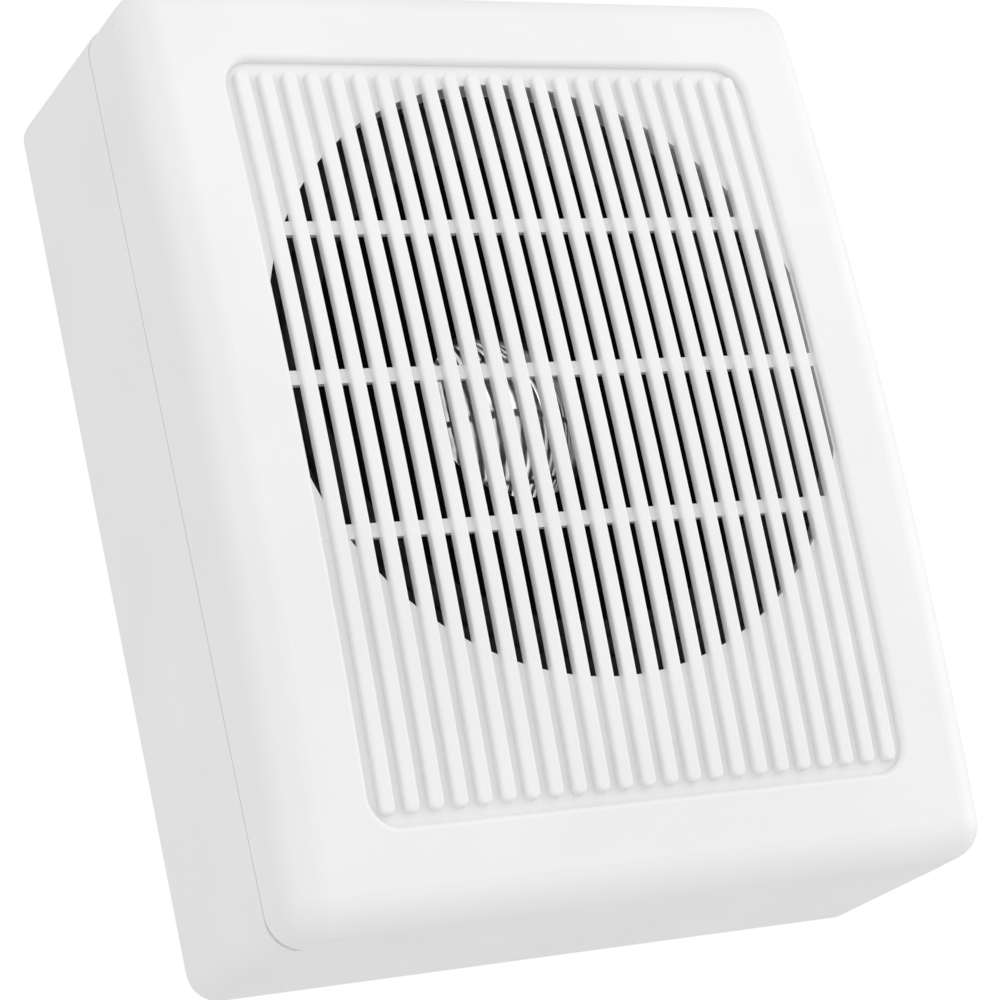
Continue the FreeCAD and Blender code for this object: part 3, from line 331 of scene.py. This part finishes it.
def lathe(mesh, profile, foot, along, choose=None, sides=48):
    """Adds a turned surface. The profile is (radius, height) pairs up from the foot along a unit axis;
    choose gives each face's material from its height and its angle round the axis."""
    base = along.to_track_quat("Z", "Y").to_matrix()
    rings = []
    for radius, height in profile:
        ring = []
        for step in range(sides):
            angle = 2 * math.pi * step / sides
            spot = Vector((radius * math.cos(angle), radius * math.sin(angle), height))
            ring.append(mesh.verts.new(foot + base @ spot))
        rings.append(ring)
    for index, (lower, upper) in enumerate(zip(rings, rings[1:])):
        height = (profile[index][1] + profile[index + 1][1]) / 2
        for step in range(sides):
            after = (step + 1) % sides
            face = mesh.faces.new((lower[step], lower[after], upper[after], upper[step]))
            if choose:
                face.material_index = choose(height, (step + 0.5) / sides)
    mesh.faces.new(reversed(rings[0]))
    lid = mesh.faces.new(rings[-1])
    if choose:
        lid.material_index = choose(profile[-1][1], 0)


def tube(mesh, path, radius, sides=8):
    """Adds a closed round tube along a list of points."""
    rings = []
    for index, spot in enumerate(path):
        before = path[max(index - 1, 0)]
        after = path[min(index + 1, len(path) - 1)]
        turn = (after - before).to_track_quat("Z", "Y")
        ring = []
        for step in range(sides):
            angle = 2 * math.pi * step / sides
            offset = Vector((math.cos(angle), math.sin(angle), 0)) * radius
            ring.append(mesh.verts.new(spot + turn @ offset))
        rings.append(ring)
    for lower, upper in zip(rings, rings[1:]):
        for step in range(sides):
            after = (step + 1) % sides
            mesh.faces.new((lower[step], lower[after], upper[after], upper[step]))
    mesh.faces.new(reversed(rings[0]))
    mesh.faces.new(rings[-1])


def finished(mesh, name):
    bmesh.ops.recalc_face_normals(mesh, faces=mesh.faces)
    data = bpy.data.meshes.new(name)
    mesh.to_mesh(data)
    mesh.free()
    return data


def smoothing_cans(finishes):
    """Electrolytic capacitors: a crimped can in a sleeve with a pale stripe, and a scored metal top."""
    low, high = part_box("capacitors")
    radius = (high.z - low.z) / 2
    height = high.y - low.y
    up = (high.z + low.z) / 2
    edge = 0.35 * MM
    stripe_share = 0.14
    profile = [
        (radius - 0.5 * MM, 0), (radius - edge / 2, 0.15 * MM), (radius, edge + 0.2 * MM),
        (radius, 1.5 * MM), (radius - 0.45 * MM, 1.9 * MM),
        (radius - 0.45 * MM, 2.2 * MM), (radius, 2.6 * MM),
        (radius, height - 2 * edge), (radius - 0.3 * edge, height - edge),
        (radius - edge, height - 0.3 * edge), (radius - 2 * edge, height),
        (radius - 3 * edge, height - 0.2 * edge), (radius - 3.4 * edge, height - edge),
    ]
    rim = height - 0.5 * edge
    sleeve_index, top_index, stripe_index = range(3)
    mesh = bmesh.new()

    def part(level, around):
        if level > rim - edge / 2:
            return top_index
        return stripe_index if around < stripe_share else sleeve_index

    for across in (low.x + radius, high.x - radius):
        foot = Vector((across, high.y, up))
        lathe(mesh, profile, foot, Vector((0, -1, 0)), part)
        for turn in range(3):
            angle = math.radians(90 + 120 * turn)
            outward = Vector((math.cos(angle), 0, math.sin(angle)))
            top = foot + Vector((0, edge - height, 0))
            tube(mesh, [top, top + outward * (radius - 4 * edge)], 0.14 * MM)
    tops = metal("can_top", (0.8, 0.8, 0.81), 0.28)
    stripe = rubber("can_stripe", (0.45, 0.46, 0.5), 0.35)
    piece = new_piece("smoothing_cans", finished(mesh, "smoothing_cans"),
                      (finishes["can_sleeve"], tops, stripe), "case", "capacitors")


def banded_resistors(finishes, count=5):
    """Axial resistors: domed ends, a slimmer waist, colour bands and bent wire leads."""
    low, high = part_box("resistors")
    radius = (high.y - low.y) / 2
    length = high.z - low.z
    cap = 1.1 * MM
    waist = 0.86 * radius
    wire = 0.28 * MM
    half_band = 0.3 * MM
    profile = [
        (0.35 * radius, 0), (0.75 * radius, 0.1 * MM), (radius, 0.4 * MM), (radius, cap),
        (waist, cap + 0.35 * MM), (waist, length / 2 - 0.9 * MM), (waist, length / 2 - 0.5 * MM),
        (waist, length / 2 + 0.1 * MM), (waist, length / 2 + 0.5 * MM), (waist, length - cap - 0.35 * MM),
        (radius, length - cap), (radius, length - 0.4 * MM), (0.75 * radius, length - 0.1 * MM),
        (0.35 * radius, length),
    ]

    def band(level, around):
        spots = (cap - 0.25 * MM, length / 2 - 0.7 * MM, length / 2 + 0.3 * MM, length - cap + 0.25 * MM)
        for index, spot in enumerate(spots):
            if abs(level - spot) < half_band:
                return index + 1
        return 0

    body = bmesh.new()
    leads = bmesh.new()
    for index in range(count):
        across = low.x + radius + (high.x - low.x - 2 * radius) * index / (count - 1)
        foot = Vector((across, (low.y + high.y) / 2, low.z))
        lathe(body, profile, foot, Vector((0, 0, 1)), band, sides=24)
        for end, way in ((low.z, -1), (high.z, 1)):
            start = Vector((across, foot.y, end - way * 0.2 * MM))
            bends = (
                (0, 0), (0, 0.7 * MM), (0.1 * MM, 0.95 * MM),
                (0.35 * MM, 1.05 * MM), (high.y - foot.y, 1.05 * MM),
            )
            path = [start + Vector((0, back, way * out)) for back, out in bends]
            tube(leads, path, wire)
    bands = [rubber("band_%d" % index, colour, 0.4) for index, colour in enumerate(
        ((0.2, 0.07, 0.02), (0.01, 0.01, 0.01), (0.5, 0.02, 0.01), (0.5, 0.33, 0.08)))]
    piece = new_piece("banded_resistors", finished(body, "banded_resistors"),
                      [finishes["resistor_body"], *bands], "case", "resistors")
    wires = new_piece("resistor_leads", finished(leads, "resistor_leads"),
                      [finishes["tinned_brass"]], "case")


def wound_choke(finishes):
    """Enamelled wire wound round the choke's neck, each turn lying against the next."""
    low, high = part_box("choke_winding")
    wire = 0.3 * MM
    outer = (high.x - low.x) / 2 - wire
    room = high.y - low.y - 2 * wire
    turns = int(room / (2 * wire))
    steps = 40
    path = []
    for index in range(turns * steps + 1):
        angle = 2 * math.pi * index / steps
        depth = high.y - wire - room * index / (turns * steps)
        path.append(Vector(((low.x + high.x) / 2 + outer * math.cos(angle), depth,
                            (low.z + high.z) / 2 + outer * math.sin(angle))))
    mesh = bmesh.new()
    tube(mesh, path, wire)
    core = Vector(((low.x + high.x) / 2, high.y - wire, (low.z + high.z) / 2))
    lathe(mesh, [(outer, 0), (outer, room)], core, Vector((0, -1, 0)))
    piece = new_piece("wound_choke", finished(mesh, "wound_choke"), [finishes["copper_enamel"]], "case",
                      "choke_winding")


def solder_joints(finishes):
    """Small cones of solder where the chip's pins meet the board."""
    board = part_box("circuit_board")[0].y
    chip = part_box("driver_chip")
    pitch = 2.54 * MM
    pins = 4
    row_gap = 0.5 * MM
    cone = [(0.75 * MM, 0), (0.7 * MM, 0.08 * MM), (0.42 * MM, 0.3 * MM), (0.36 * MM, 0.7 * MM)]
    mesh = bmesh.new()
    middle = (chip[0].x + chip[1].x) / 2
    for row in (chip[0].z - row_gap, chip[1].z + row_gap):
        for index in range(pins):
            foot = Vector((middle + (index - (pins - 1) / 2) * pitch, board, row))
            lathe(mesh, cone, foot, Vector((0, -1, 0)), sides=16)
    piece = new_piece("solder_joints", finished(mesh, "solder_joints"), [finishes["tinned_brass"]], "case")


def plunger_spring(finishes, turns=6, dead=1.2):
    """The tamper switch's coil spring, with closed end turns."""
    low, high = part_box("tamper_spring")
    wire = 0.25 * MM
    radius = (high.x - low.x) / 2 - wire
    steps = 32
    count = int((turns + 2 * dead) * steps)
    room = high.y - low.y - 2 * wire
    closed = 2 * wire / (turns + 2 * dead)
    path = []
    for index in range(count + 1):
        turn = index / steps
        open_part = min(max(turn - dead, 0), turns) / turns
        along = closed * turn + (room - closed * (turns + 2 * dead)) * open_part
        angle = 2 * math.pi * turn
        path.append(Vector(((low.x + high.x) / 2 + radius * math.cos(angle), high.y - wire - along,
                            (low.z + high.z) / 2 + radius * math.sin(angle))))
    mesh = bmesh.new()
    tube(mesh, path, wire)
    piece = bpy.data.objects.new("plunger_spring", finished(mesh, "plunger_spring"))
    bpy.context.scene.collection.objects.link(piece)
    piece.data.materials.append(finishes["spring_steel"].material)
    for face in piece.data.polygons:
        face.use_smooth = True
    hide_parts("tamper_spring")
    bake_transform(piece)


# Light, floor and camera

def soft_light(name, toward, distance, size, watts, target=Vector((0, -0.02, 0))):
    """A square area light that shines on the object from the direction given."""
    data = bpy.data.lights.new(name, "AREA")
    data.size = size
    data.energy = watts
    lamp = bpy.data.objects.new(name, data)
    direction = Vector(toward).normalized()
    lamp.location = target + direction * distance
    lamp.rotation_euler = direction.to_track_quat("Z", "Y").to_euler()
    bpy.context.scene.collection.objects.link(lamp)


def pale_world(strength, backdrop):
    """Even light from all round; what the camera sees past the floor is plain and pale."""
    world = bpy.data.worlds.new("Studio")
    bpy.context.scene.world = world
    world.use_nodes = True
    tree = world.node_tree
    light = tree.nodes["Background"]
    light.inputs["Color"].default_value = (1, 1, 1, 1)
    light.inputs["Strength"].default_value = strength
    seen = tree.nodes.new("ShaderNodeBackground")
    seen.inputs["Color"].default_value = (1, 1, 1, 1)
    seen.inputs["Strength"].default_value = backdrop
    ray = tree.nodes.new("ShaderNodeLightPath")
    mix = tree.nodes.new("ShaderNodeMixShader")
    tree.links.new(ray.outputs["Is Camera Ray"], mix.inputs["Fac"])
    tree.links.new(light.outputs["Background"], mix.inputs[1])
    tree.links.new(seen.outputs["Background"], mix.inputs[2])
    tree.links.new(mix.outputs["Shader"], tree.nodes["World Output"].inputs["Surface"])


def floor(drop, size):
    """A pale floor below the siren, which hangs on a wall and stands on nothing."""
    mesh = bpy.data.meshes.new("Floor")
    half = size / 2
    level = cad_box[0].z - drop
    corners = [(-half, -half, level), (half, -half, level), (half, half, level), (-half, half, level)]
    mesh.from_pydata(corners, [], [(0, 1, 2, 3)])
    item = bpy.data.objects.new("Floor", mesh)
    bpy.context.scene.collection.objects.link(item)
    shade = Shader("floor_pale", (0.9, 0.9, 0.9), 0.7)
    shade.tint(shade.noise(60 * MM, 3), 0.3, 0.7, (0.88, 0.88, 0.88), (0.92, 0.92, 0.92))
    mesh.materials.append(shade.material)


def studio():
    scene = bpy.context.scene
    scene.view_settings.view_transform = "Standard"
    pale_world(strength=0.75, backdrop=1.0)
    floor(drop=0.25, size=6.0)
    soft_light("Key", toward=(0.45, -1, 0.75), distance=0.9, size=0.7, watts=1.42)
    soft_light("Fill", toward=(-0.9, -0.6, 0.2), distance=1.1, size=0.9, watts=1.85)
    soft_light("Right", toward=(1, -0.35, 0.1), distance=0.9, size=0.7, watts=1.9)


def camera(azimuth, elevation, roll, distance, lens, aim):
    """Looks at aim from azimuth (to the right of straight on) and elevation, tipped by roll."""
    data = bpy.data.cameras.new("Camera")
    data.lens = lens
    data.sensor_width = 36
    data.clip_start = 0.01
    view = bpy.data.objects.new("Camera", data)
    bpy.context.scene.collection.objects.link(view)
    turn = Matrix.Rotation(math.radians(azimuth), 4, "Z")
    turn = turn @ Matrix.Rotation(math.radians(90 - elevation), 4, "X")
    view.matrix_world = Matrix.Translation(aim) @ turn @ Matrix.Translation((0, 0, distance))
    view.matrix_world = view.matrix_world @ Matrix.Rotation(math.radians(roll), 4, "Z")
    bpy.context.scene.camera = view


finishes = slot_materials()
dress_nodes(finishes)
smoothing_cans(finishes)
banded_resistors(finishes)
wound_choke(finishes)
solder_joints(finishes)
plunger_spring(finishes)
studio()
case_middle = (cad_box[0] + cad_box[1]) / 2
camera(azimuth=-30.83, elevation=-16.85, roll=-13.12, distance=0.469, lens=119.7,
       aim=case_middle + Vector((-1.2, 2.1, -3.7)) * MM)
